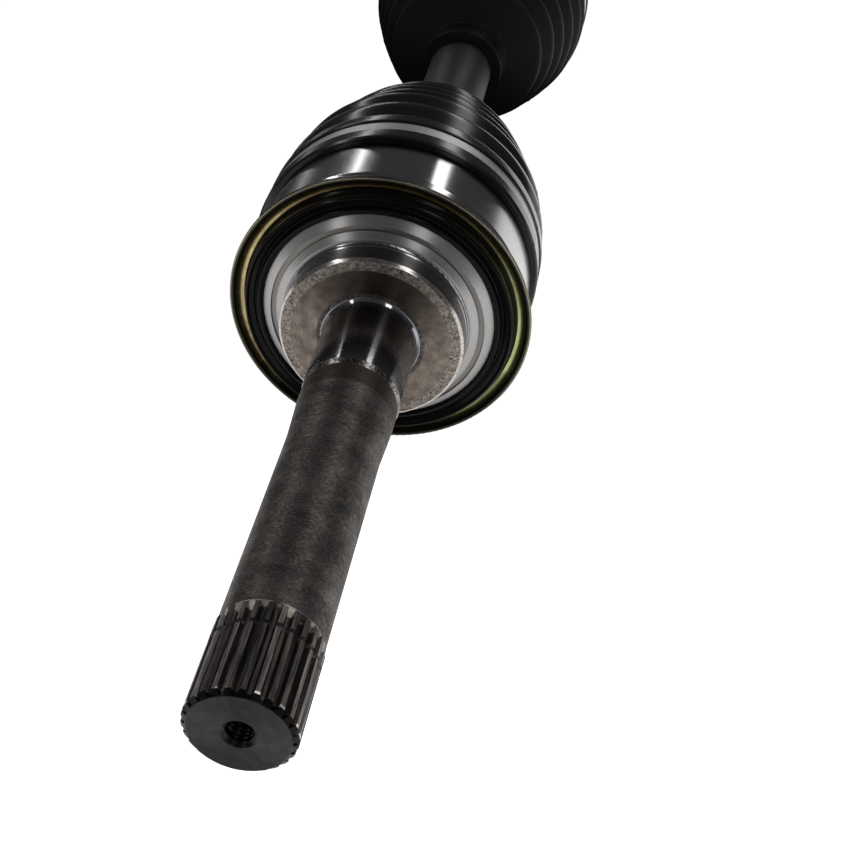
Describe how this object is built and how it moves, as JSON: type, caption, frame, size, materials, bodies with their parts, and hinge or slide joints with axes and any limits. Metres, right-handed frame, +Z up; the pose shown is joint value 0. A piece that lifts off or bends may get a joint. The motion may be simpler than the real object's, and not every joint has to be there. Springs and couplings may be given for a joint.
{
  "type": "cv axle",
  "caption": "Drive half shaft with a fixed ball joint and splined stub outboard, a plunging tripod joint and splined stub inboard, each under a rubber boot.",
  "frame": {"origin": "on the axle's axis, at the middle of the bearing journal on the outboard stub", "axes": "+X along the axle, outboard towards the wheel hub; +Y and +Z across it, +Z up"},
  "size_m": [0.5845, 0.0998, 0.0998],
  "materials": {
    "scaled_steel": "dark heat scale with fine turning marks, polished where machined",
    "bearing_steel": "ground",
    "ball_steel": "polished",
    "plated_steel": "yellow passivated plate, satin",
    "clamp_steel": "satin",
    "boot_rubber": "glossy black",
    "seal_rubber": "moulded, semi-gloss",
    "shaft_paint": "satin black",
    "spring_steel": "dark"
  },
  "bodies": {
    "axle_shaft": {"axle_shaft": "shaft_paint", "outboard_inner_race": "bearing_steel", "inner_race_circlip": "spring_steel", "tripod_spider": "bearing_steel", "spider_circlips": "spring_steel", "roller_washers": "spring_steel", "roller_snap_rings": "spring_steel", "outboard_boot_clamp_small": "spring_steel", "inboard_boot_clamp_small": "spring_steel"},
    "outboard_hub": {"outboard_housing": "scaled_steel", "outboard_dust_shield": "plated_steel", "outboard_seal": "seal_rubber", "outboard_boot_clamp_large": "clamp_steel", "outboard_boot": "boot_rubber"},
    "ball_cage": {"outboard_cage": "bearing_steel", "outboard_balls": "ball_steel"},
    "roller_1": {"tripod_roller_1": "bearing_steel", "roller_needles_1": "ball_steel"},
    "roller_2": {"tripod_roller_2": "bearing_steel", "roller_needles_2": "ball_steel"},
    "roller_3": {"tripod_roller_3": "bearing_steel", "roller_needles_3": "ball_steel"},
    "inboard_hub": {"inboard_housing": "scaled_steel", "inboard_stub_circlip": "spring_steel", "inboard_boot_clamp_large": "clamp_steel", "inboard_boot": "boot_rubber"}
  },
  "joints": [
    {"name": "outboard_bend", "type": "hinge", "parent": "axle_shaft", "child": "outboard_hub", "pos_m": [-0.059, 0, 0], "axis": [0, 0, 1], "range_deg": [-42, 42], "deforming": ["outboard_boot"]},
    {"name": "cage_tilt", "type": "hinge", "parent": "axle_shaft", "child": "ball_cage", "pos_m": [-0.059, 0, 0], "axis": [0, 0, 1], "range_deg": [-21, 21]},
    {"name": "inboard_bend", "type": "hinge", "parent": "axle_shaft", "child": "roller_1", "pos_m": [-0.32, 0, 0], "axis": [0, 1, 0], "range_deg": [-20, 20], "deforming": ["inboard_boot"]},
    {"name": "plunge", "type": "slide", "parent": "roller_1", "child": "inboard_hub", "axis": [1, 0, 0], "range_m": [-0.014, 0.014], "deforming": ["inboard_boot"]},
    {"name": "roller_2_spin", "type": "hinge", "parent": "axle_shaft", "child": "roller_2", "pos_m": [-0.32, -0.01175, 0.02035], "axis": [0, -0.5, 0.866], "range_deg": [-51, 51]},
    {"name": "roller_3_spin", "type": "hinge", "parent": "axle_shaft", "child": "roller_3", "pos_m": [-0.32, -0.01175, -0.02035], "axis": [0, -0.5, -0.866], "range_deg": [-51, 51]}
  ],
  "couplings": [
    {"joint": "cage_tilt", "follows": "outboard_bend", "ratio": 0.5},
    {"joint": "roller_2_spin", "follows": "plunge", "rad_per_m": 62.5},
    {"joint": "roller_3_spin", "follows": "plunge", "rad_per_m": 62.5}
  ]
}
